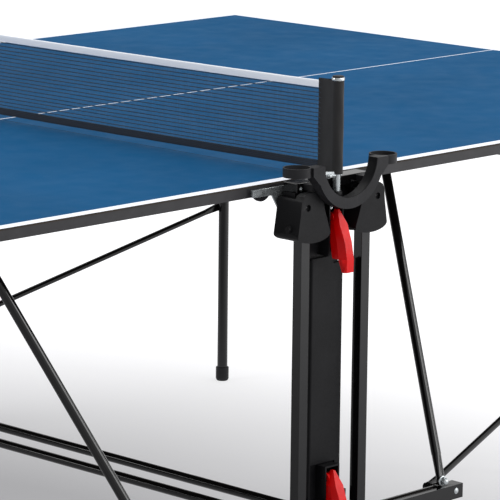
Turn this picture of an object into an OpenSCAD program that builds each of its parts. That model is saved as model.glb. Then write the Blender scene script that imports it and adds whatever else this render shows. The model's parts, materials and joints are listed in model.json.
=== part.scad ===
// Folding ping pong table on a central undercarriage with four swivel castors.
// Origin on the floor under the middle of the net; X runs along the table, Y across it, Z up.
// Each half of the top folds up by itself: its hoods slide down the posts while it turns upright.

/* [Playing surface] */
// Length of the whole playing surface
table_l = 2740; // [2600:10:2740]
// Width of the playing surface
table_w = 1525; // [1500:5:1525]
// Height of the playing surface above the floor
table_h = 760; // [755:1:765]
// Height of the dark edge, from the surface down to the underside of the rim
edge_h = 19; // [16:1:24]
// Gap between the two halves at the net
halves_gap = 2; // [1:1:6]

/* [Steel frame] */
// Width of a post along X
post_w = 19.7; // [16:0.1:24]
// Depth of a post along Y
post_d = 18; // [16:1:22]
// Distance from the middle plane to a post's inner face
post_in = 61.6; // [56:0.2:70]
// Distance from the middle plane to a post's outward face
post_front = 813; // [808:1:820]
// Wall thickness of the square tubes
wall = 1.5; // [1:0.1:2.5]
// Side of the square foot tube
foot_s = 25; // [20:1:30]
// Length of the foot tube
foot_l = 756; // [700:2:900]
// Height of the foot tube's top above the floor
foot_top = 176; // [170:1:182]
// Diameter of the slanted support arms
arm_d = 17; // [12:1:19]
// Diameter of the thin leg rods
rod_d = 12; // [8:1:14]
// Diameter of the outer legs
leg_d = 22; // [18:1:25]

/* [Net] */
// Height of the net above the playing surface
net_h = 152.5; // [140:0.5:160]
// Height of the white tape along the top of the net
tape_h = 12; // [10:1:15]
// Height of the dark band along the bottom of the net
hem_h = 12.5; // [8:0.5:20]
// Diameter of a net post's tube
net_post_d = 13; // [10:1:16]

/* [Bat holder and castors] */
// Radius of the cradle between the two rings
cradle_r = 62; // [55:1:64]
// Inner radius of a ball ring
ring_r = 20.5; // [20:0.5:22]
// Diameter of a castor wheel
wheel_d = 125; // [100:5:126]
// Width of a castor wheel
wheel_w = 26; // [20:1:30]

/* [Hidden] */
$fn = 48;

left = -1;
right = 1;
near = 1;
far = -1;
steel = [0.09, 0.09, 0.10];
plastic = [0.16, 0.16, 0.17];
zinc = [0.72, 0.74, 0.76];
red = [0.85, 0.02, 0.03];
blue = [0.16, 0.36, 0.54];
cloth = [0.05, 0.05, 0.06];
white = [0.94, 0.95, 0.97];

// All the places below are for the right half on the near side; place() mirrors them.
edge_y = table_w / 2;
rim_z = table_h - edge_h;
rim_t = 1.6;
rim_lip = 16;
cap_t = 3;
under_z = rim_z + rim_t;
post_back = post_front - post_d;
post_out = post_in + post_w;
foot_y = 756;
foot_bottom = foot_top - foot_s;
beam_y = [775, 805];
beam_z = [rim_z + 5, table_h + 2];
beam_x = 85;
cradle_out = 78.5;

// Pivots: X, distance from the middle plane and height
hood_pivot = [82, 725];
arm_base = [338, -foot_y, foot_top + 10];
arm_top = [500, -454, 732];
leg_top = [1133, -557, 728];
rod_base = [352, -716, 164];
rod_top = [1133, -572, 381];
pin_r = 4;
pin_gap = 0.3;
eye_r = 9;
eye_t = 5;

panel_w = 74;
panel_z = [165, 631];
panel_y = 795;
panel_depth = 14;
panel_wall = 2;
window_z = 288;
strap_z = 702;
lever_drop = 433;
lever_pivot = [806, 698];
hood_y = [774, 828];
hood_z = [667, 748];
net_y = 812;
net_top = table_h + net_h + 3;
hem_z = table_h + 9;
castor_trail = 35;
castor_x = 345;

module place(half, side) mirror([half < 0 ? 1 : 0, 0, 0]) mirror([0, side < 0 ? 1 : 0, 0]) children();
module both_sides(half) for (side = [near, far]) place(half, side) children();

// A box from its lowest corner to its highest
module span(a, b) translate(a) cube(b - a);

// A disc about an axis along Y, centred on a point
module disc_y(p, r, h) translate(p) rotate([90, 0, 0]) cylinder(h = h, r = r, center = true);

// A round bar between two points
module bar(p, q, d) {
    v = q - p;
    translate(p) rotate([0, acos(v.z / norm(v)), atan2(v.y, v.x)]) cylinder(h = norm(v), d = d);
}

module rounded_rect(w, d, r) {
    square([w, d - 2 * r], center = true);
    square([w - 2 * r, d], center = true);
    for (x = [-1, 1], y = [-1, 1]) translate([x * (w / 2 - r), y * (d / 2 - r)]) circle(r);
}

// A square tube along X
module tube_x(x0, x1, y0, z0, s) difference() {
    span([x0, y0, z0], [x1, y0 + s, z0 + s]);
    span([x0 - 1, y0 + wall, z0 + wall], [x1 + 1, y0 + s - wall, z0 + s - wall]);
}

// A bar whose ends are pressed flat into eyes that turn about an axis along Y
module eye_bar(p, q, d, reach) {
    v = (q - p) / norm(q - p);
    bar(p + v * reach, q - v * reach, d);
    for (e = [[p, v], [q, -v]]) {
        disc_y(e[0], eye_r, eye_t);
        hull() {
            translate(e[0]) rotate([90, 0, 0]) cylinder(h = eye_t - 0.8, r = eye_r - 0.8, center = true, $fn = 24);
            bar(e[0] + e[1] * reach, e[0] + e[1] * (reach + 4), d - 0.8, $fn = 24);
        }
    }
}

module bolt_head(p, r, out) translate(p) rotate([90 * out, 0, 0]) cylinder(h = 4.5, r1 = r, r2 = r * 0.62);

// ---- Undercarriage ----

module cross_tubes() color(steel) for (x = [-38, 38])
    translate([x, 0, foot_top + 8]) rotate([90, 0, 0]) cylinder(h = 2 * (panel_y - panel_depth), d = 16, center = true);

module foot() color(steel) {
    tube_x(-foot_l / 2, foot_l / 2, -foot_y - foot_s / 2, foot_bottom, foot_s);
    for (half = [left, right]) mirror([half < 0 ? 1 : 0, 0, 0]) {
        span([foot_l / 2, -foot_y - foot_s / 2, foot_bottom], [foot_l / 2 + 4, -foot_y + foot_s / 2, foot_top]);
        // Lug that carries the post
        span([post_in, -post_back, foot_bottom], [post_out, -foot_y - foot_s / 2, foot_top + 20]);
        // Low lug behind the arm's lower eye
        span([arm_base.x - 10, -foot_y + 5.5, foot_top], [arm_base.x + 10, -foot_y + 8.5, foot_top + 6]);
        // Stub that the leg rod turns on
        disc_y([rod_base.x, (rod_base.y - 4 - foot_y + foot_s / 2) / 2, rod_base.z], 7,
            foot_y - foot_s / 2 + rod_base.y - 4);
        disc_y([rod_base.x, rod_base.y, rod_base.z], pin_r, 12);
        disc_y([rod_base.x, rod_base.y + 7, rod_base.z], 6, 3);
    }
}

module posts() color(steel) for (half = [left, right]) mirror([half < 0 ? 1 : 0, 0, 0]) difference() {
    span([post_in, -post_front, foot_bottom], [post_out, -post_back, beam_z[0]]);
    span([post_in + wall, -post_front + wall, foot_bottom - 1], [post_out - wall, -post_back - wall, beam_z[0] - 3]);
}

module panel() color(plastic) {
    difference() {
        translate([0, -panel_y + panel_depth / 2, panel_z[0]]) linear_extrude(panel_z[1] - panel_z[0]) difference() {
            rounded_rect(panel_w, panel_depth, 4);
            translate([0, panel_wall]) square([panel_w - 2 * panel_wall, panel_depth], center = true);
        }
        // Stepped top corner and the window for the lower lever
        span([14, -panel_y - 1, panel_z[1] - 13], [panel_w, -panel_y + panel_depth + 1, panel_z[1] + 1]);
        span([-34, -panel_y - 1, panel_z[0] - 1], [24, -panel_y + panel_wall + 1, window_z]);
        span([-40, -panel_y + 4.1, 169], [40, -panel_y + panel_depth + 1, 199]);
    }
    // Recessed strip up to the beam
    span([-post_in, -panel_y + 5, panel_z[1] - 5], [30, -panel_y + 8, strap_z]);
    span([29, -panel_y + 5, hood_z[0] + 2], [post_in, -panel_y + 8, strap_z]);
    span([-30, -panel_y + 5, panel_z[1] - 60], [30, -panel_y + 8, panel_z[1] - 4]);
    // Flange along the side that the levers are on
    span([panel_w / 2 - 1, -panel_y + 8, 226], [panel_w / 2 + 8, -panel_y + 11, panel_z[1] - 14]);
    span([-30, -panel_y + panel_wall, panel_z[1] - 60], [30, -panel_y + 8, panel_z[1] - 50]);
    // Backing strip behind the window
    span([-35.5, -panel_y + 4.1, 205], [30, -panel_y + 8, window_z + 12]);
    span([-35.5, -panel_y + panel_wall, window_z + 2], [30, -panel_y + 4.2, window_z + 12]);
    // Straps that hold the panel to the posts
    span([-post_in, -panel_y + 5, strap_z - 1], [post_in, -panel_y + 11, beam_z[0]]);
    span([-post_in, -panel_y + 8, 205], [post_in, -panel_y + 11, 231]);
    // Cheeks and pin of each lever
    for (drop = [0, lever_drop]) {
        for (x = [-17, 14]) span([x, -lever_pivot[0] - 7, lever_pivot[1] - 62 - drop],
            [x + 3, -panel_y + 5.1, lever_pivot[1] + 20 - drop]);
        span([-17, -lever_pivot[0] - 7, lever_pivot[1] + 19 - drop], [17, -panel_y + 5.1, lever_pivot[1] + 22 - drop]);
        translate([0, -lever_pivot[0], lever_pivot[1] - drop]) rotate([0, 90, 0]) cylinder(h = 36, r = 3, center = true);
    }
}

module top_beam() color(steel) difference() {
    span([-beam_x, -beam_y[1], beam_z[0]], [beam_x, -beam_y[0], beam_z[1]]);
    span([-beam_x + 5, -beam_y[1] + wall, beam_z[0] + wall], [beam_x - 5, -beam_y[0] - wall, beam_z[1] - wall]);
}

module bat_holder() color(plastic) {
    front = 844;
    back = 824;
    ring_top = 792;
    ring_h = 15;
    bore_h = 32;
    ring_x = 101;
    ring_y = 820;
    cradle_z = ring_top + 4;
    shoulder = 88;
    difference() {
        union() {
            translate([0, -back, 0]) rotate([90, 0, 0]) linear_extrude(front - back) difference() {
                union() {
                    intersection() {
                        translate([0, cradle_z - 1]) circle(cradle_out, $fn = 96);
                        translate([-cradle_out, ring_top - 80]) square([2 * cradle_out, 80]);
                    }
                    // Shoulders out to the rings
                    for (s = [-1, 1]) polygon([[s * 60, ring_top - 32], [s * 73, ring_top - 29], [s * 80, ring_top - 22],
                        [s * shoulder, ring_top - 14], [s * shoulder, ring_top], [s * 60, ring_top]]);
                }
                translate([0, cradle_z]) circle(cradle_r, $fn = 96);
            }
            for (s = [-1, 1]) {
                translate([s * ring_x, -ring_y, ring_top - ring_h]) cylinder(h = ring_h, r = ring_r + 2.5);
                // Spacer back to the beam
                span([s * 62 - 8, -back - 1, beam_z[0] + 4.5], [s * 62 + 8, -beam_y[1], beam_z[1] - 2]);
            }
        }
        for (s = [-1, 1]) translate([s * ring_x, -ring_y, ring_top - bore_h]) cylinder(h = bore_h + 2, r = ring_r);
    }
}

module net_post() {
    socket_top = beam_z[0] - 0.5;
    color(zinc) {
        translate([0, -net_y, socket_top]) cylinder(h = net_top + 6 - socket_top, d = net_post_d);
        span([-26, -net_y - 2, table_h + 6], [-net_post_d / 2 + 1, -net_y + 2, table_h + 15]);
    }
    color(plastic) {
        translate([0, -net_y, 722]) cylinder(h = socket_top - 722, d = 19.6);
        span([-7, -net_y + 8, 724], [7, -panel_y + 5, 740]);
        translate([0, -net_y, net_top + 6]) cylinder(h = 6, d1 = 20, d2 = 16);
    }
}

// ---- Net ----

module net_sleeve() color(cloth) difference() {
    union() {
        translate([0, -net_y, hem_z + 15]) cylinder(h = net_top + 3 - hem_z - 15, d = net_post_d + 6);
        span([-2, -net_y + 8, hem_z + 15], [2, -771, net_top + 3]);
    }
    translate([0, -net_y, hem_z]) cylinder(h = net_h, d = net_post_d + 0.4);
}

module net_mesh() color(cloth) span([-0.6, -771, hem_z + hem_h], [0.6, 771, net_top - tape_h - 3]);
module net_tape() color(white) span([-2, -771, net_top - tape_h - 3], [2, 771, net_top + 1]);
module net_hem() color(cloth) span([-1.5, -771, hem_z], [1.5, 771, hem_z + hem_h]);

// ---- Release levers ----

// A thin slice of a lever: its height, nearer and further face, half width at the back and at the front
module lever_slice(z, y0, y1, w0, w1) translate([0, 0, z]) linear_extrude(0.4)
    polygon([[-w0, -y0], [w0, -y0], [w0, -(y0 + y1) / 2], [w1, -y1], [-w1, -y1], [-w0, -(y0 + y1) / 2]]);

// Pointed top, swelling body and a stepped handle below it
module lever(drop) color(red) translate([0, 0, -drop]) difference() {
    union() {
        translate([0, -lever_pivot[0], lever_pivot[1]]) rotate([0, 90, 0]) cylinder(h = 20, r = 9, center = true);
        hull() {
            lever_slice(711.6, 811, 817, 3, 2);
            lever_slice(688, 810, 829, 13, 9);
        }
        hull() {
            lever_slice(688, 810, 829, 13, 9);
            lever_slice(660, 812, 840, 13, 8);
        }
        hull() {
            lever_slice(660, 812, 840, 13, 8);
            lever_slice(633, 817, 845, 13, 8);
        }
        hull() {
            lever_slice(633, 830, 845, 13, 8);
            lever_slice(612, 837, 844.6, 11, 8);
        }
    }
    translate([0, -lever_pivot[0], lever_pivot[1]]) rotate([0, 90, 0]) cylinder(h = 40, r = 3 + pin_gap, center = true);
}

// ---- Hoods that slide on the posts ----

// Front outline of a hood: narrow shoulders over a wide rim that bulges down
module hood_outline() polygon(concat(
    [[80, hood_z[1]], [87, hood_z[1] - 1], [93, hood_z[1] - 4.5], [97, hood_z[1] - 12], [99, hood_z[1] - 32]],
    [for (i = [0:16]) [67.5 + 37.5 * cos(i * 180 / 16), hood_z[0] + 13 - 13 * sin(i * 180 / 16)]],
    [[43, hood_z[1] - 32], [51, hood_z[1]]]
));

module hood() color(plastic) {
    behind_panel = panel_y + 2;
    difference() {
        translate([0, -hood_y[0], 0]) rotate([90, 0, 0]) linear_extrude(hood_y[1] - hood_y[0]) hood_outline();
        // Room for the panel
        span([0, -behind_panel, 600], [post_in + 1, -hood_y[0] + 1, 800]);
        // Channel for the post
        span([post_in - 0.5, -post_front - 0.5, 600], [post_out + 0.5, -post_back + 0.5, 800]);
        // Hollow underside
        translate([0, -behind_panel - 3, 0]) rotate([90, 0, 0]) linear_extrude(hood_y[1] - behind_panel - 6)
            polygon([[31, 620], [99, 620], [98, 676], [94, 700], [44, 700], [32, 676]]);
        // Room for the bat cradle
        disc_y([0, -hood_y[1] + 1.5, 795], cradle_out + 1, 6);
        // Room for the beam
        span([0, -812, 739], [110, -hood_y[0] + 1, hood_z[1] + 1]);
        // Recess round the pivot
        disc_y([hood_pivot[0], -hood_y[1], hood_pivot[1]], 5.5, 8);
    }
    // Catch nib on the outer side
    translate([100, -806, 690]) rotate([0, 90, 0]) cylinder(h = 7, r1 = 7, r2 = 5);
    // Pivot pin towards the hinge plate
    disc_y([hood_pivot[0], -hood_y[0] + 4, hood_pivot[1]], pin_r, 12);
}

// ---- Halves of the top ----

module board() color(blue) {
    span([halves_gap / 2, -edge_y, table_h - cap_t], [table_l / 2, edge_y, table_h]);
    span([halves_gap / 2 + rim_t, -edge_y + rim_t, under_z], [table_l / 2 - rim_t, edge_y - rim_t, table_h - cap_t]);
}

module rim() color(steel) {
    x0 = halves_gap / 2;
    x1 = table_l / 2;
    difference() {
        span([x0, -edge_y, rim_z], [x1, edge_y, table_h - cap_t]);
        span([x0 + rim_t, -edge_y + rim_t, under_z], [x1 - rim_t, edge_y - rim_t, table_h]);
        span([x0 + rim_lip, -edge_y + rim_lip, rim_z - 1], [x1 - rim_lip, edge_y - rim_lip, table_h]);
    }
    // Half-round stop below the edge
    for (side = [near, far]) place(right, side) intersection() {
        disc_y([121, -edge_y + 1.5, rim_z + 14], 23, 3);
        span([80, -edge_y, rim_z - 20], [160, -edge_y + 3, rim_z + 1]);
    }
}

module rail() color(steel) {
    rail_y = -arm_top.y - 9;
    tube_x(100, 1180, -rail_y, under_z - foot_s, foot_s);
    // Stub that the arm's upper eye turns on
    disc_y([arm_top.x, -rail_y - 2.5, arm_top.z], 8, 5);
    disc_y([arm_top.x, -rail_y - 6, arm_top.z], pin_r, 12);
    // Bridge and ears that carry the leg
    span([leg_top.x - 18, leg_top.y - 17, under_z - 2.5], [leg_top.x + 18, -rail_y + 1, under_z]);
    for (y = [-16, 13]) {
        span([leg_top.x - 11, leg_top.y + y, leg_top.z], [leg_top.x + 11, leg_top.y + y + 3, under_z - 1]);
        disc_y([leg_top.x, leg_top.y + y + 1.5, leg_top.z], 11, 3);
    }
    disc_y([leg_top.x, leg_top.y, leg_top.z], pin_r, 34);
}

module hinge_plate() color(zinc) {
    plate_y = 768;
    difference() {
        union() {
            translate([0, -plate_y, 0]) rotate([90, 0, 0]) linear_extrude(3)
                polygon([[58, rim_z + 13], [150, rim_z + 13], [150, rim_z + 1], [106, rim_z], [92, 719], [71, 719]]);
            disc_y([hood_pivot[0], -plate_y - 1.5, hood_pivot[1]], 11, 3);
        }
        disc_y([hood_pivot[0], -plate_y, hood_pivot[1]], pin_r + pin_gap, 20);
    }
    span([112, -plate_y, rim_z + 3], [146, -edge_y, rim_z + 12]);
}

// ---- Folding legs, arms and rods ----

module leg() color(steel) difference() {
    union() {
        translate([leg_top.x, leg_top.y, 14]) cylinder(h = leg_top.z - 14, d = leg_d);
        disc_y(leg_top, leg_d / 2, 20);
    }
    disc_y(leg_top, pin_r + pin_gap, 40);
}

module leg_foot() color(plastic) translate([leg_top.x, leg_top.y, 0]) difference() {
    union() {
        cylinder(h = 5, d1 = leg_d + 2, d2 = leg_d + 6);
        translate([0, 0, 5]) cylinder(h = 25, d = leg_d + 6);
    }
    translate([0, 0, 14]) cylinder(h = 30, d = leg_d);
}

module leg_brace() color(steel)
    translate([leg_top.x, 0, 600]) rotate([90, 0, 0]) cylinder(h = 2 * (-leg_top.y - leg_d / 2 + 3), d = 16, center = true);

module arm() color(steel) difference() {
    union() {
        eye_bar(arm_base, arm_top, arm_d, 48);
        bolt_head(arm_base - [0, eye_t / 2, 0], 8, 1);
    }
    disc_y(arm_top, pin_r + pin_gap, 60);
}

module rod() color(steel) difference() {
    union() {
        eye_bar(rod_base, rod_top, rod_d, 40);
        bolt_head(rod_top - [0, eye_t / 2, 0], 7, 1);
    }
    disc_y(rod_base, pin_r + pin_gap, 30);
}

// ---- Castors ----

module castor_fork() translate([castor_x, -foot_y, 0]) {
    axle = [-castor_trail, 0, wheel_d / 2];
    color(zinc) {
        translate([0, 0, 137]) cylinder(h = foot_bottom - 0.5 - 137, d = 30);
        translate([0, 0, 131]) cylinder(h = 6, d = 46);
        for (y = [-1, 1]) {
            translate([0, y * (wheel_w / 2 + 3.5), 0]) rotate([90, 0, 0]) linear_extrude(3, center = true)
                polygon([[-20, 132], [20, 132], [8, 104], [-24, 56], [-44, 56], [-47, 66]]);
            disc_y(axle + [0, y * (wheel_w / 2 + 3.5), 0], 11, 3);
        }
        disc_y(axle, 5, wheel_w + 14);
    }
}

module castor_wheel() color(plastic) translate([castor_x - castor_trail, -foot_y, wheel_d / 2]) rotate([90, 0, 0])
    rotate_extrude($fn = 96) {
        // Hub, web and tyre
        translate([5 + pin_gap, -wheel_w / 2]) square([9, wheel_w]);
        translate([10, -3]) square([wheel_d / 2 - 16, 6]);
        translate([wheel_d / 2 - 14, -wheel_w / 2 + 2]) square([7, wheel_w - 4]);
        intersection() {
            translate([wheel_d / 2 - 18, 0]) circle(18);
            translate([wheel_d / 2 - 8, -wheel_w / 2]) square([9, wheel_w]);
        }
    }

cross_tubes();
place(right, near) foot();  // near_foot
place(right, far) foot();  // far_foot
place(right, near) posts();  // near_posts
place(right, far) posts();  // far_posts
place(right, near) panel();  // near_panel
place(left, far) panel();  // far_panel
place(right, near) top_beam();  // near_top_beam
place(right, far) top_beam();  // far_top_beam
place(right, near) bat_holder();  // near_bat_holder
place(right, far) bat_holder();  // far_bat_holder
place(right, near) net_post();  // near_net_post
place(left, far) net_post();  // far_net_post
place(right, near) net_sleeve();  // near_net_sleeve
place(right, far) net_sleeve();  // far_net_sleeve
net_mesh();
net_tape();
net_hem();
place(right, near) lever(0);  // near_upper_lever
place(right, near) lever(lever_drop);  // near_lower_lever
place(left, far) lever(0);  // far_upper_lever
place(left, far) lever(lever_drop);  // far_lower_lever
place(left, near) hood();  // left_near_hood
place(left, far) hood();  // left_far_hood
place(right, near) hood();  // right_near_hood
place(right, far) hood();  // right_far_hood
place(left, near) board();  // left_board
place(left, near) rim();  // left_rim
place(left, near) rail();  // left_near_rail
place(left, far) rail();  // left_far_rail
both_sides(left) hinge_plate();  // left_hinge_plates
place(right, near) board();  // right_board
place(right, near) rim();  // right_rim
place(right, near) rail();  // right_near_rail
place(right, far) rail();  // right_far_rail
both_sides(right) hinge_plate();  // right_hinge_plates
place(left, near) leg();  // left_near_leg
place(left, far) leg();  // left_far_leg
place(left, near) leg_brace();  // left_leg_brace
both_sides(left) leg_foot();  // left_leg_feet
place(right, near) leg();  // right_near_leg
place(right, far) leg();  // right_far_leg
place(right, near) leg_brace();  // right_leg_brace
both_sides(right) leg_foot();  // right_leg_feet
place(left, near) arm();  // left_near_arm
place(left, far) arm();  // left_far_arm
place(right, near) arm();  // right_near_arm
place(right, far) arm();  // right_far_arm
place(left, near) rod();  // left_near_rod
place(left, far) rod();  // left_far_rod
place(right, near) rod();  // right_near_rod
place(right, far) rod();  // right_far_rod
place(left, near) castor_fork();  // left_near_castor_fork
place(left, far) castor_fork();  // left_far_castor_fork
place(right, near) castor_fork();  // right_near_castor_fork
place(right, far) castor_fork();  // right_far_castor_fork
place(left, near) castor_wheel();  // left_near_castor_wheel
place(left, far) castor_wheel();  // left_far_castor_wheel
place(right, near) castor_wheel();  // right_near_castor_wheel
place(right, far) castor_wheel();  // right_far_castor_wheel
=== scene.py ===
"""Looks of the folding ping pong table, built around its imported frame.

Metres; X along the table, Y across it, Z up.
"""
import json
import math
import random

import bmesh
import bpy
from mathutils import Matrix, Vector


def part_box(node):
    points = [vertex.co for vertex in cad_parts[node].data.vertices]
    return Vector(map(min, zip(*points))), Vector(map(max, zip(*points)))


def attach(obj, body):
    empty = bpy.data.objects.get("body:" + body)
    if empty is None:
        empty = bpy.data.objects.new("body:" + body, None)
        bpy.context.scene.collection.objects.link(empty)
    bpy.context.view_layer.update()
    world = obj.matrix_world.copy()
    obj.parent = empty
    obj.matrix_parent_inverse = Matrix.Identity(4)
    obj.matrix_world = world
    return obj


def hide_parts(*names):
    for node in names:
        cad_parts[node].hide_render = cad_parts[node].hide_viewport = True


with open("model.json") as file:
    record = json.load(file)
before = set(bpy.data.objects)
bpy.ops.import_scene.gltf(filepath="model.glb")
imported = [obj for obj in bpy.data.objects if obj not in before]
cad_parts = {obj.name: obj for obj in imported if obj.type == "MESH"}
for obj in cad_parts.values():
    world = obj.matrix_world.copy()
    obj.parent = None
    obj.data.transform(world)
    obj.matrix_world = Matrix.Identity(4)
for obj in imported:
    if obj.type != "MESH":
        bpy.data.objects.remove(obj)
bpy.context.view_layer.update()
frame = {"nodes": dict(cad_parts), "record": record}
SLOTS = {part["node"]: part["material_slot"] for part in frame["record"]["subparts"]}
BODIES = {node: body for body, nodes in frame["record"]["behaviour"]["bodies"].items() for node in nodes}
MM = 0.001
NEAR, FAR = 1, -1
RNG = random.Random(7)


# ---- Camera ----

def aim_camera(place, yaw, pitch, roll, lens):
    back = Vector((math.sin(yaw) * math.cos(pitch), -math.cos(yaw) * math.cos(pitch), math.sin(pitch)))
    level = Vector((math.cos(yaw), math.sin(yaw), 0))
    up = back.cross(level)
    right = math.cos(roll) * level + math.sin(roll) * up
    up = math.cos(roll) * up - math.sin(roll) * level
    data = bpy.data.cameras.new("camera")
    data.sensor_width, data.lens, data.clip_end = 36, lens, 60
    camera = bpy.data.objects.new("camera", data)
    bpy.context.scene.collection.objects.link(camera)
    turn = Matrix((right, up, back)).transposed().to_4x4()
    camera.matrix_world = Matrix.Translation(place) @ turn
    bpy.context.scene.camera = camera


aim_camera(Vector((-3.8391, -4.3410, 1.6891)), -0.8011, 0.1981, 0.0111, 238.1)


# ---- Materials ----

def linear(r, g, b):
    """A colour given as sRGB 0..255, as the linear colour that a shader takes."""
    def one(v):
        v /= 255
        return v / 12.92 if v <= 0.04045 else ((v + 0.055) / 1.055) ** 2.4
    return (one(r), one(g), one(b), 1)


class Finish:
    """One procedural material: a Principled shader with helpers for colour, roughness and bump."""

    def __init__(self, name, colour, roughness, **sockets):
        self.material = bpy.data.materials.new(name)
        self.material.use_nodes = True
        self.tree = self.material.node_tree
        self.shader = self.tree.nodes["Principled BSDF"]
        self.at = self.node("ShaderNodeTexCoord").outputs["Object"]
        self.shader.inputs["Base Color"].default_value = linear(*colour)
        self.shader.inputs["Roughness"].default_value = roughness
        for socket, value in sockets.items():
            self.shader.inputs[socket.replace("_", " ")].default_value = value
        self.height = None

    def node(self, kind, inputs=None, **props):
        made = self.tree.nodes.new(kind)
        for key, value in props.items():
            setattr(made, key, value)
        for key, value in (inputs or {}).items():
            if isinstance(value, bpy.types.NodeSocket):
                self.tree.links.new(value, made.inputs[key])
            else:
                made.inputs[key].default_value = value
        return made

    def math(self, operation, a, b=0.0):
        return self.node("ShaderNodeMath", {0: a, 1: b}, operation=operation).outputs[0]

    def noise(self, scale, detail=3.0):
        inputs = {"Vector": self.at, "Scale": scale, "Detail": detail}
        return self.node("ShaderNodeTexNoise", inputs).outputs["Fac"]

    def cells(self, scale):
        return self.node("ShaderNodeTexVoronoi", {"Vector": self.at, "Scale": scale}).outputs["Distance"]

    def bands(self, axis, pitch, sharp=1.0):
        """0..1 ridges across an axis, one every pitch metres."""
        part = self.node("ShaderNodeSeparateXYZ", {0: self.at}).outputs[axis]
        wave = self.math("SINE", self.math("MULTIPLY", part, 2 * math.pi / pitch))
        ridge = self.math("ADD", self.math("MULTIPLY", wave, 0.5), 0.5)
        return self.math("POWER", ridge, sharp) if sharp != 1 else ridge

    def spread(self, fac, low, high, to_low, to_high):
        return self.node("ShaderNodeMapRange", {0: fac, 1: low, 2: high, 3: to_low, 4: to_high}).outputs[0]

    def mix(self, fac, a, b):
        made = self.node("ShaderNodeMix", {"Factor": fac}, data_type="RGBA")
        for slot, value in ((6, a), (7, b)):
            if isinstance(value, bpy.types.NodeSocket):
                self.tree.links.new(value, made.inputs[slot])
            else:
                made.inputs[slot].default_value = value
        return made.outputs[2]

    def colour(self, socket):
        self.tree.links.new(socket, self.shader.inputs["Base Color"])
        return self

    def rough(self, socket):
        self.tree.links.new(socket, self.shader.inputs["Roughness"])
        return self

    def bump(self, height, distance, strength=1.0):
        inputs = {"Height": height, "Distance": distance, "Strength": strength}
        if self.height:
            inputs["Normal"] = self.height
        self.height = self.node("ShaderNodeBump", inputs).outputs[0]
        self.tree.links.new(self.height, self.shader.inputs["Normal"])
        return self


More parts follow.
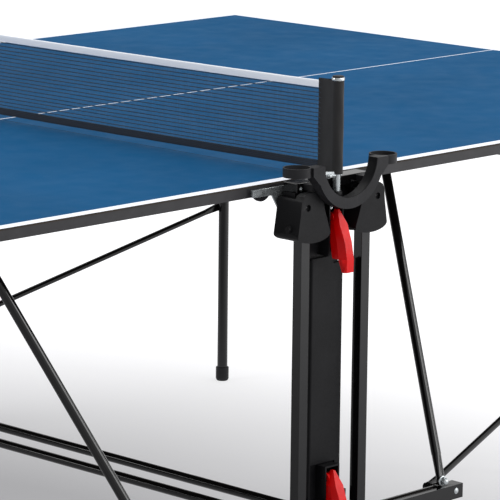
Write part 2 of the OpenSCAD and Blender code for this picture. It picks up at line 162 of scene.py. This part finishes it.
def make_materials():
    made = {}
    top = Finish("playing_top", (10, 78, 122), 0.6, Specular_IOR_Level=0.03)
    lacquer = top.mix(top.spread(top.noise(3.5), 0.35, 0.65, 0, 1), linear(8, 75, 118), linear(14, 81, 126))
    grain = top.mix(top.spread(top.noise(900), 0.3, 0.7, 0, 0.35), lacquer, linear(6, 69, 110))
    normal = top.node("ShaderNodeTexCoord").outputs["Normal"]
    upward = top.math("GREATER_THAN", top.node("ShaderNodeSeparateXYZ", {0: normal}).outputs[2], 0.5)
    board = top.mix(top.noise(60), linear(50, 46, 43), linear(64, 58, 52))
    top.colour(top.mix(upward, board, grain)).rough(top.spread(top.noise(22), 0.3, 0.7, 0.55, 0.68))
    top.bump(top.noise(1400, 2), 0.00006, 0.5)
    made["playing_top"] = top

    paint = Finish("line_paint", (238, 241, 249), 0.5)
    worn = paint.spread(paint.noise(40), 0.4, 0.8, 0, 0.5)
    paint.colour(paint.mix(worn, linear(240, 243, 251), linear(226, 230, 238)))
    paint.bump(paint.noise(1300, 2), 0.00005, 0.5)
    made["line_paint"] = paint

    for name, low, high, rough in (("rim_steel", (27, 26, 29), (36, 35, 38), 0.42),
                                   ("black_steel", (7, 7, 8), (12, 12, 13), 0.1)):
        coat = Finish(name, low, rough, Specular_IOR_Level=0.4)
        coat.colour(coat.mix(coat.spread(coat.noise(45), 0.35, 0.7, 0, 1), linear(*low), linear(*high)))
        coat.rough(coat.spread(coat.noise(120), 0.3, 0.75, rough - 0.03, rough + 0.05))
        coat.bump(coat.noise(700, 2), 0.00003, 0.2)
        made[name] = coat

    for name, low, high, rough in (("black_plastic", (12, 12, 14), (18, 18, 20), 0.45),
                                   ("grey_plastic", (30, 30, 32), (38, 38, 40), 0.48)):
        moulded = Finish(name, low, rough, Specular_IOR_Level=0.15)
        cloudy = moulded.spread(moulded.noise(18), 0.35, 0.7, 0, 1)
        moulded.colour(moulded.mix(cloudy, linear(*low), linear(*high)))
        moulded.rough(moulded.spread(moulded.noise(260), 0.3, 0.7, rough - 0.08, rough + 0.08))
        moulded.bump(moulded.cells(1500), 0.00008, 0.5)
        made[name] = moulded

    red = Finish("red_plastic", (200, 2, 4), 0.32, Specular_IOR_Level=0.2)
    red.colour(red.mix(red.spread(red.noise(30), 0.35, 0.7, 0, 1), linear(192, 0, 2), linear(208, 2, 4)))
    red.bump(red.noise(700, 2), 0.00008, 0.4)
    made["red_plastic"] = red

    thread = Finish("net_cloth", (24, 34, 46), 0.8, Sheen_Weight=0.3)
    twist = thread.math("MULTIPLY", thread.bands("Y", 0.0011), thread.bands("Z", 0.0013))
    thread.colour(thread.mix(twist, linear(12, 26, 44), linear(24, 44, 68))).bump(twist, 0.0001, 0.6)
    made["net_cloth"] = thread

    sleeve = Finish("sleeve_cloth", (30, 30, 32), 0.85, Sheen_Weight=0.15, Sheen_Roughness=0.4)
    weave = sleeve.math("ADD", sleeve.bands("Z", 0.0012, 1.5), sleeve.bands("Y", 0.0012, 1.5))
    weave = sleeve.math("MULTIPLY", weave, 0.5)
    cloudy = sleeve.spread(sleeve.noise(35, 4), 0.35, 0.7, 0, 1)
    faded = sleeve.mix(cloudy, linear(19, 18, 19), linear(28, 27, 28))
    sleeve.colour(sleeve.mix(sleeve.math("MULTIPLY", weave, 0.4), faded, linear(38, 37, 38)))
    sleeve.bump(weave, 0.00015, 0.7)
    made["sleeve_cloth"] = sleeve

    hem = Finish("hem_cloth", (13, 28, 44), 0.85, Sheen_Weight=0.1)
    rows = hem.math("MULTIPLY", hem.bands("Z", 0.0028), hem.bands("Y", 0.0026))
    hem.colour(hem.mix(rows, linear(9, 19, 31), linear(22, 44, 66))).bump(rows, 0.0002, 0.6)
    made["hem_cloth"] = hem

    tape = Finish("white_tape", (240, 242, 248), 0.75, Sheen_Weight=0.2)
    weave = tape.math("MULTIPLY", tape.bands("Z", 0.0009), tape.bands("Y", 0.0009))
    tape.colour(tape.mix(weave, linear(240, 243, 250), linear(252, 253, 255))).bump(weave, 0.00012, 0.6)
    made["white_tape"] = tape

    zinc = Finish("zinc_steel", (190, 194, 198), 0.3, Metallic=0.85)
    spangle = zinc.noise(90)
    zinc.colour(zinc.mix(spangle, linear(176, 182, 184), linear(204, 209, 211)))
    zinc.rough(zinc.spread(spangle, 0.3, 0.7, 0.2, 0.34)).bump(zinc.noise(400), 0.00005, 0.4)
    made["zinc_steel"] = zinc

    rubber = Finish("castor_rubber", (44, 44, 46), 0.7)
    dusty = rubber.spread(rubber.noise(60, 5), 0.4, 0.7, 0, 1)
    rubber.colour(rubber.mix(dusty, linear(38, 38, 40), linear(66, 65, 66)))
    rubber.bump(rubber.noise(900), 0.0001, 0.5)
    made["castor_rubber"] = rubber
    return {name: finish.material for name, finish in made.items()}


MATERIALS = make_materials()


# ---- Mesh helpers ----

def piece(name, verts, faces, material, body, smooth=None):
    mesh = bpy.data.meshes.new(name)
    mesh.from_pydata([tuple(v) for v in verts], [], faces)
    made = bpy.data.objects.new(name, mesh)
    bpy.context.scene.collection.objects.link(made)
    shape = bmesh.new()
    shape.from_mesh(mesh)
    bmesh.ops.recalc_face_normals(shape, faces=shape.faces)
    shape.to_mesh(mesh)
    shape.free()
    mesh.materials.append(MATERIALS[material])
    if smooth:
        mesh.shade_smooth()
        mesh.set_sharp_from_angle(angle=math.radians(smooth))
    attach(made, body)
    return made


class Solid:
    """Vertices and faces gathered from several closed shapes."""

    def __init__(self):
        self.verts, self.faces = [], []

    def add(self, verts, faces):
        base = len(self.verts)
        self.verts += [Vector(v) for v in verts]
        self.faces += [tuple(base + i for i in face) for face in faces]
        return self

    def loft(self, rings):
        """Joins closed rings of the same number of points, one after the other, and closes both ends."""
        n = len(rings[0])
        faces = [(k * n + i, k * n + (i + 1) % n, (k + 1) * n + (i + 1) % n, (k + 1) * n + i)
                 for k in range(len(rings) - 1) for i in range(n)]
        faces += [tuple(reversed(range(n))), tuple((len(rings) - 1) * n + i for i in range(n))]
        return self.add([p for ring in rings for p in ring], faces)

    def lathe(self, foot, axis, profile, segments=32):
        """Turns (distance along the axis, radius) pairs about an axis through foot."""
        axis = Vector(axis).normalized()
        side = axis.orthogonal().normalized()
        other = axis.cross(side)
        steps = [2 * math.pi * i / segments for i in range(segments)]
        return self.loft([[Vector(foot) + axis * along + radius * (side * math.cos(t) + other * math.sin(t))
                           for t in steps] for along, radius in profile])

    def strand(self, points, across, thick, width):
        """A flat thread through points, width along across and thick the other way."""
        rings = []
        for i, point in enumerate(points):
            ahead = (points[min(i + 1, len(points) - 1)] - points[max(i - 1, 0)]).normalized()
            wide = (across - ahead * across.dot(ahead)).normalized() * width / 2
            deep = ahead.cross(wide).normalized() * thick / 2
            rings.append([point + wide, point + deep, point - wide, point - deep])
        return self.loft(rings)

    def turned(self, side):
        """The same shape on the near side or, turned half round, on the far side."""
        if side == FAR:
            self.verts = [Vector((-v.x, -v.y, v.z)) for v in self.verts]
        return self


def side_name(side):
    return "near" if side == NEAR else "far"


def refined(node, width):
    """The CAD node's own shape with its hard edges rounded by width, standing for the node."""
    mesh = frame["nodes"][node].data.copy()
    mesh.name = node + "_shape"
    made = bpy.data.objects.new(node + "_finished", mesh)
    bpy.context.scene.collection.objects.link(made)
    shape = bmesh.new()
    shape.from_mesh(mesh)
    bmesh.ops.remove_doubles(shape, verts=shape.verts, dist=4e-6)
    bmesh.ops.dissolve_limit(shape, angle_limit=math.radians(0.5), verts=shape.verts, edges=shape.edges)
    shape.to_mesh(mesh)
    shape.free()
    mesh.shade_smooth()
    sharp = math.radians(30)
    edges = made.modifiers.new("edges", "BEVEL")
    edges.width, edges.segments = width, 3
    edges.limit_method, edges.angle_limit = "ANGLE", sharp
    edges.use_clamp_overlap, edges.harden_normals, edges.miter_outer = True, True, "MITER_ARC"
    mesh.set_sharp_from_angle(angle=sharp)
    mesh.materials.clear()
    mesh.materials.append(MATERIALS[SLOTS[node]])
    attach(made, BODIES[node])
    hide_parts(node)
    return made


# ---- Hard parts: rounded edges on the CAD's own shapes ----

EDGE_WIDTHS = {
    "foot": 1.6, "posts": 1.6, "panel": 1.4, "top_beam": 1.4, "bat_holder": 1.4, "lever": 1.4, "hood": 3.2,
    "rail": 1.5, "hinge_plates": 0.6, "leg": 0.8, "leg_feet": 1.5, "leg_brace": 0.8, "arm": 1.0, "rod": 0.8,
    "castor_fork": 0.8, "castor_wheel": 1.2, "cross_tubes": 0.8,
}
for node in frame["nodes"]:
    for ending, width in EDGE_WIDTHS.items():
        if node.endswith(ending):
            refined(node, width * MM)
            break
    else:
        for slot in frame["nodes"][node].material_slots:
            slot.material = MATERIALS[SLOTS[node]]


# ---- Playing lines ----

def playing_lines(half, s):
    table_l, table_w, top = 2740 * MM, 1525 * MM, 760 * MM
    line, middle, paint, gap = 20 * MM, 3 * MM, 0.18 * MM, 1 * MM
    end, edge = table_l / 2, table_w / 2
    shape = Solid()
    for x0, x1, y0, y1 in ((gap, end, -edge, line - edge), (gap, end, edge - line, edge),
                           (end - line, end, line - edge, edge - line),
                           (gap, end - line, -middle / 2, middle / 2)):
        ring = [(s * x0, y0), (s * x1, y0), (s * x1, y1), (s * x0, y1)]
        shape.loft([[(x, y, top + z) for x, y in ring] for z in (0, paint)])
    piece(half + "_lines", shape.verts, shape.faces, "line_paint", half + "_half")


playing_lines("left", -1)
playing_lines("right", 1)


# ---- Net ----

NET_END, HEM_LOW, HEM_HIGH, TAPE_LOW, NET_SAG = 0.771, 0.769, 0.7815, 0.8995, 0.0045
TAPE_HEIGHT, HEM_HEIGHT = 0.012, 0.0125
POST_Y, POST_RADIUS, POST_TOP = -0.812, 0.0064, 0.9195


def sag(y):
    return NET_SAG * (y / NET_END) ** 2


def net_threads():
    rows, pitch = 18, 0.0026
    shape = Solid()
    for row in range(rows):
        share = (row + 0.7) / rows
        phase, wobble = RNG.uniform(0, 6), RNG.uniform(0.0002, 0.0005)
        points = []
        for i in range(121):
            y = -NET_END + 2 * NET_END * i / 120
            z = HEM_HIGH + (TAPE_LOW - HEM_HIGH) * share + sag(y) + wobble * math.sin(9 * y + phase)
            points.append(Vector((0.0004 * math.sin(31 * y + phase), y, z)))
        shape.strand(points, Vector((0, 0, 1)), 0.0008, 0.0015)
    count = int(2 * NET_END / pitch)
    for i in range(1, count):
        y = -NET_END + pitch * i
        points = []
        for k in range(5):
            z = HEM_HIGH - 0.001 + (TAPE_LOW - HEM_HIGH + 0.002) * k / 4 + sag(y)
            points.append(Vector((RNG.uniform(-0.0002, 0.0002), y + RNG.uniform(-0.0003, 0.0003), z)))
        shape.strand(points, Vector((0, 1, 0)), 0.0004, 0.0006)
    made = piece("net_threads", shape.verts, shape.faces, "net_cloth", BODIES["net_mesh"])
    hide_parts("net_mesh")
    return made


def folded_band(name, node, material, height, low_at, fold_up):
    """A tape folded over a cord at one edge and sewn near the other."""
    fold, pinch, thickness, steps, bends = 0.0019, 0.0009, 0.0005, 96, 8
    tip = height - fold
    outer = [(-pinch - thickness, 0.0), (-fold, tip * 0.55), (-fold, tip)]
    turns = [math.pi * i / bends for i in range(1, bends)]
    outer += [(-fold * math.cos(t), tip + fold * math.sin(t)) for t in turns]
    outer += [(fold, tip), (fold, tip * 0.55), (pinch + thickness, 0.0)]
    inner_r = fold - thickness
    inner = [(pinch, 0.0), (inner_r, tip * 0.55), (inner_r, tip)]
    inner += [(inner_r * math.cos(t), tip + inner_r * math.sin(t)) for t in turns]
    inner += [(-inner_r, tip), (-inner_r, tip * 0.55), (-pinch, 0.0)]
    rings = []
    for i in range(steps + 1):
        y = -NET_END + 2 * NET_END * i / steps
        ripple = 0.00025 * math.sin(47 * y) + 0.0002 * math.sin(113 * y + 1)
        low = low_at + sag(y)
        rings.append([(x + ripple, y, low + (z if fold_up else height - z)) for x, z in outer + inner])
    shape = Solid().loft(rings)
    made = piece(name, shape.verts, shape.faces, material, BODIES[node], smooth=60)
    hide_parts(node)
    stitches = Solid()
    stitch_pitch, from_edge = 0.0045, 0.0022
    seam = low_at + (from_edge if fold_up else height - from_edge)
    for i in range(int(2 * NET_END / stitch_pitch)):
        y = -NET_END + stitch_pitch * (i + 0.3)
        for side in (-1, 1):
            x = side * 0.00172
            ends = [Vector((x, y + 0.0029 * t, seam + sag(y))) for t in (0, 0.25, 0.75, 1)]
            ends[0].x = ends[3].x = side * 0.0013
            stitches.strand(ends, Vector((0, 0, 1)), 0.0005, 0.0006)
    sewn = piece(name + "_stitches", stitches.verts, stitches.faces, material, BODIES[node])
    return made, sewn


def sleeve(side):
    """Black cloth wrapped round the net post and closed on itself along the net's edge."""
    post_y, radius, cloth, flap = POST_Y, 0.0093, 0.0008, -NET_END
    low, high, corner = HEM_LOW, POST_TOP, 0.009
    start = math.radians(69)
    bends, rows = 24, 40

    def path(grow):
        r = radius + grow
        side_x = 0.0007 + cloth / 2 + grow * 0.5
        touch = (r * math.sin(start), post_y + r * math.cos(start))
        points = [(side_x, flap), (side_x, flap - 0.005)]
        leaves = flap - 0.008
        for share in (0.2, 0.4, 0.6, 0.8):
            points.append((side_x + (touch[0] - side_x) * share, leaves + (touch[1] - leaves) * share))
        arc = [start + (2 * math.pi - 2 * start) * i / bends for i in range(bends + 1)]
        round_part = [(r * math.sin(t), post_y + r * math.cos(t)) for t in arc]
        return points + round_part + [(-x, y) for x, y in reversed(points)]

    outer, inner = path(cloth / 2), path(-cloth / 2)
    loop = outer + inner[::-1]
    rings = []
    for k in range(rows + 1):
        ring = []
        for x, y in loop:
            lift = corner * min(max((y + 0.792) / 0.021, 0), 1) ** 1.3
            z = low + lift + (high - low - lift) * k / rows
            fold = 0.0004 * math.sin(80 * z + 40 * y) if -0.800 < y < -0.776 else 0.0
            ring.append((x + fold, y + 0.0003 * math.sin(70 * z + 300 * x), z))
        rings.append(ring)
    shape = Solid().loft(rings).turned(side)
    node = side_name(side) + "_net_sleeve"
    made = piece(node + "_cloth", shape.verts, shape.faces, "sleeve_cloth", BODIES[node], smooth=50)
    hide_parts(node)

    lacing = Solid()
    points = []
    turns, per_turn, lacing_low, lacing_high = 15, 8, 0.7915, 0.9155
    for i in range(turns * per_turn + 1):
        t = 2 * math.pi * i / per_turn
        z = lacing_low + (lacing_high - lacing_low) * i / (turns * per_turn)
        points.append(Vector((0.0019 * math.sin(t), flap - 0.0028 + 0.0035 * math.cos(t), z)))
    lacing.strand(points, Vector((0, 0, 1)), 0.0011, 0.0011)
    cord = lacing.turned(side)
    name = side_name(side) + "_sleeve_lacing"
    laced = piece(name, cord.verts, cord.faces, "net_cloth", BODIES[node], smooth=80)


threads = net_threads()
tape, tape_seam = folded_band("net_top_tape", "net_tape", "white_tape", TAPE_HEIGHT, TAPE_LOW, True)
hem, hem_seam = folded_band("net_bottom_hem", "net_hem", "hem_cloth", HEM_HEIGHT, HEM_LOW, False)
for side in (NEAR, FAR):
    sleeve(side)


# ---- Net posts ----

def net_post(side):
    at = Vector((0, POST_Y, 0))
    name = side_name(side)
    body = BODIES[name + "_net_post"]
    up = Vector((0, 0, 1))
    metal = Solid().lathe(at, up, [(0.7415, POST_RADIUS), (POST_TOP, POST_RADIUS)])
    collar = [(POST_TOP, POST_RADIUS), (0.9197, 0.0098), (0.9203, 0.0103)]
    collar += [(0.9238, 0.0103), (0.9246, 0.0098), (0.9248, 0.006)]
    metal.lathe(at, up, collar, 40)
    tube = metal.turned(side)
    made = piece(name + "_post_tube", tube.verts, tube.faces, "zinc_steel", body, smooth=35)
    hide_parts(name + "_net_post")
    dark = Solid().lathe(at, up, [(0.9246, 0.0088), (0.9262, 0.0093), (0.927, 0.0088), (0.9275, 0.006)], 40)
    socket = [(0.722, 0.0092), (0.723, 0.0098), (0.7398, 0.0098), (0.7412, 0.0088), (0.7414, 0.0066)]
    dark.lathe(at, up, socket, 40)
    dark = dark.turned(side)
    piece(name + "_post_socket", dark.verts, dark.faces, "black_plastic", body, smooth=40)


for side in (NEAR, FAR):
    net_post(side)


# ---- Small hardware and details ----

def bolt(name, at, axis, radius, height, node, material="zinc_steel"):
    """A domed head on a washer; at is on the face it sits on."""
    washer = [(-0.001, radius * 1.3), (0.0008, radius * 1.3), (0.001, radius * 1.2)]
    head = [(0.0009, radius), (height * 0.55, radius)]
    head += [(height * 0.85, radius * 0.75), (height, radius * 0.35)]
    shape = Solid().lathe(at, axis, washer, 28).lathe(at, axis, head, 28)
    piece(name, shape.verts, shape.faces, material, BODIES[node], smooth=35)


def acorn_nut(name, at, axis, radius, height, node):
    """A hexagonal nut closed by a dome, on its flange."""
    flange = [(0, radius * 1.25), (0.0015, radius * 1.25), (0.0019, radius * 1.15)]
    round_r = radius * 0.84
    dome = [(height * 0.45, round_r)]
    dome += [(height * (0.5 + 0.5 * math.sin(t)), round_r * math.cos(t)) for t in (0.1, 0.4, 0.8, 1.1, 1.4)]
    shape = Solid().lathe(at, axis, flange, 28)
    shape.lathe(at, axis, [(0.0016, radius), (height * 0.5, radius)], 6)
    shape.lathe(at, axis, dome, 28)
    piece(name, shape.verts, shape.faces, "zinc_steel", BODIES[node], smooth=35)


def box(shape, low, high):
    (x0, y0, z0), (x1, y1, z1) = low, high
    ring = [(x0, y0), (x1, y0), (x1, y1), (x0, y1)]
    return shape.loft([[(x, y, z) for x, y in ring] for z in (z0, z1)])


def half_name(side, s):
    """The half of the table on the left or right of a side, seen from that side."""
    return "left" if s * side < 0 else "right"


def hardware(side):
    near = side_name(side)
    turn = Vector((side, side, 1))

    def at(x, y, z):
        return Vector((x, y, z)) * MM * turn

    def towards(x, y, z):
        return Vector((x, y, z)) * turn

    front, up = towards(0, -1, 0), Vector((0, 0, 1))
    for s in (-1, 1):
        half = half_name(side, s)
        tag = half + "_" + near
        acorn_nut(tag + "_arm_nut", at(s * 338, -758.5, 186), front, 7.2 * MM, 13 * MM, tag + "_arm")
        bolt(tag + "_rod_bolt", at(s * 1133, -574.5, 381), front, 5.6 * MM, 5 * MM, tag + "_rod")
        bolt(tag + "_leg_bolt", at(s * 1133, -573.0, 728), front, 5.6 * MM, 5 * MM, tag + "_rail")
        bolt(tag + "_foot_bolt", at(s * 364, -768.5, 165), front, 4 * MM, 2.6 * MM, near + "_foot")
        bolt(tag + "_hood_bolt", at(s * 82, -821.5, 725), front, 3 * MM, 3 * MM, tag + "_hood", "black_steel")
        buffer = Solid()
        sides = sorted((side * s * 44 * MM, side * s * 88 * MM))
        depth = sorted((-side * 804 * MM, -side * 776 * MM))
        box(buffer, (sides[0], depth[0], 739.4 * MM), (sides[1], depth[1], 746.2 * MM))
        piece(tag + "_beam_buffer", buffer.verts, buffer.faces, "black_plastic", BODIES[near + "_top_beam"])
    bolt(near + "_beam_bolt", at(-76, -805, 752), front, 2.6 * MM, 2.6 * MM, near + "_top_beam")
    bolt(near + "_cheek_bolt", at(-13, -813, 716), front, 2.4 * MM, 2.4 * MM, near + "_panel")

    # Clamp that holds the net cord at the post
    clamp = Solid()
    outline = [(-28.5, 770.5), (-27.5, 775.5), (-6, 773), (9, 769.5), (9, 766.5), (-6, 766)]
    clamp.loft([[at(x, y, z) for x, z in outline] for y in (-815.5, -809.5)])
    clamp_head = [(0, 0.0036), (0.002, 0.0036), (0.0036, 0.0022), (0.004, 0.0008)]
    clamp.lathe(at(-21, -815.4, 768), front, clamp_head, 24)
    clamp.lathe(at(-21, -812.5, 764), up, [(0, 0.0030), (0.009, 0.0030)], 20)
    piece(near + "_net_clamp", clamp.verts, clamp.faces, "zinc_steel", BODIES[near + "_net_post"], smooth=30)
    cradle_details(side, at)


def cradle_details(side, at):
    """A darker skin over the cradle's inner face, which is painted shade, and the two joint lines of the bat
    cradle.
    """
    near = side_name(side)
    body = BODIES[near + "_bat_holder"]
    inner_r, inner_z, outer_r, outer_z, front_y, skin = 62, 796, 78.5, 795, -844, 0.5
    section = [(-842, inner_r - skin), (-826, inner_r - skin), (-826, inner_r + skin), (-842, inner_r + skin)]
    angles = [math.radians(a) for a in range(184, 357, 4)]
    # Black plastic skin over the inner face: painted shade that darkens the inside of the cradle.
    painted_shade_skin = Solid()
    painted_shade_skin.loft([[Vector((side * r * math.cos(t), side * y, inner_z + r * math.sin(t))) * MM
                 for y, r in section] for t in angles])
    piece(near + "_cradle_painted_shade", painted_shade_skin.verts, painted_shade_skin.faces, "black_plastic", body, smooth=40)
    lines = Solid()
    half_width, proud, sunk, spare = 0.35, 0.12, 0.5, 0.3
    for x in (-15.2, 14.6):
        top = inner_z - math.sqrt(inner_r ** 2 - x ** 2) - spare
        bottom = outer_z - math.sqrt(outer_r ** 2 - x ** 2) + spare
        ends = sorted([at(x - half_width, front_y - proud, 0)[:2], at(x + half_width, front_y + sunk, 0)[:2]])
        box(lines, (*ends[0], bottom * MM), (*ends[1], top * MM))
    piece(near + "_cradle_lines", lines.verts, lines.faces, "black_steel", body)


for side in (NEAR, FAR):
    hardware(side)


def wheel_discs():
    """The webs of the castor wheels, with their hubs."""
    for node in frame["nodes"]:
        if node.endswith("castor_wheel"):
            low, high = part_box(node)
            centre = (Vector(low) + Vector(high)) / 2
            shape = Solid()
            disc = [(0.0025, 0.0484), (0.0042, 0.0484), (0.0046, 0.046)]
            hub = [(0.0052, 0.020), (0.0092, 0.018), (0.0100, 0.0145)]
            for s in (-1, 1):
                shape.lathe(centre, (0, s, 0), disc + hub, 48)
            piece(node + "_discs", shape.verts, shape.faces, "grey_plastic", BODIES[node], smooth=35)


wheel_discs()


# ---- Studio ----

def studio():
    # The floor glows with painted light: its emission runs from grey at the near left to white far off,
    # standing in for the studio's light falling off.
    ground = Finish("floor_with_painted_light", (150, 150, 152), 0.95, Specular_IOR_Level=0.05, Emission_Strength=1.0)
    part = ground.node("ShaderNodeSeparateXYZ", {0: ground.at})
    along = ground.math("MULTIPLY", part.outputs[0], 1.24)
    away = ground.math("ADD", along, ground.math("MULTIPLY", part.outputs[1], 0.2))
    painted_floor_light = ground.mix(ground.spread(away, 0.35, 2.15, 0, 1), linear(146, 146, 148), linear(247, 247, 248))
    ground.tree.links.new(painted_floor_light, ground.shader.inputs["Emission Color"])
    size = 40.0
    mesh = bpy.data.meshes.new("floor")
    corners = [(-size, -size, 0), (size, -size, 0), (size, size, 0), (-size, size, 0)]
    mesh.from_pydata(corners, [], [(0, 1, 2, 3)])
    mesh.materials.append(ground.material)
    floor = bpy.data.objects.new("floor", mesh)
    bpy.context.scene.collection.objects.link(floor)
    world = bpy.data.worlds.new("studio")
    world.use_nodes = True
    nodes, links = world.node_tree.nodes, world.node_tree.links
    sky = nodes.new("ShaderNodeTexCoord")
    facing = nodes.new("ShaderNodeVectorMath")
    facing.operation = "DOT_PRODUCT"
    facing.inputs[1].default_value = (0.75, -0.60, 0.28)
    level = nodes.new("ShaderNodeMapRange")
    level.inputs[1].default_value, level.inputs[2].default_value = -1.0, 1.0
    level.inputs[3].default_value, level.inputs[4].default_value = 0.25, 1.1
    links.new(sky.outputs["Generated"], facing.inputs[0])
    links.new(facing.outputs["Value"], level.inputs[0])
    links.new(level.outputs[0], nodes["Background"].inputs["Strength"])
    nodes["Background"].inputs["Color"].default_value = (1, 1, 1, 1)
    bpy.context.scene.world = world
    for name, place, target, width, height, power in (
            ("key", (1.5, -5.0, 3.6), (0, -0.3, 0.6), 2.5, 2.5, 110),
            ("top", (0.5, 0.5, 4.6), (0, 0, 0.7), 4.0, 4.0, 62),
            ("fill", (-3.2, 2.2, 2.4), (0, -0.3, 0.9), 2.0, 2.0, 60),
            ("strip", (3.2, -3.4, 1.8), (0.2, -0.8, 0.5), 0.35, 2.6, 26)):
        light = bpy.data.lights.new(name, "AREA")
        light.shape, light.size, light.size_y, light.energy = "RECTANGLE", width, height, power
        lamp = bpy.data.objects.new(name, light)
        bpy.context.scene.collection.objects.link(lamp)
        lamp.location = place
        lamp.rotation_euler = (Vector(target) - Vector(place)).to_track_quat("-Z", "Y").to_euler()
    bpy.context.scene.view_settings.view_transform = "Standard"


studio()
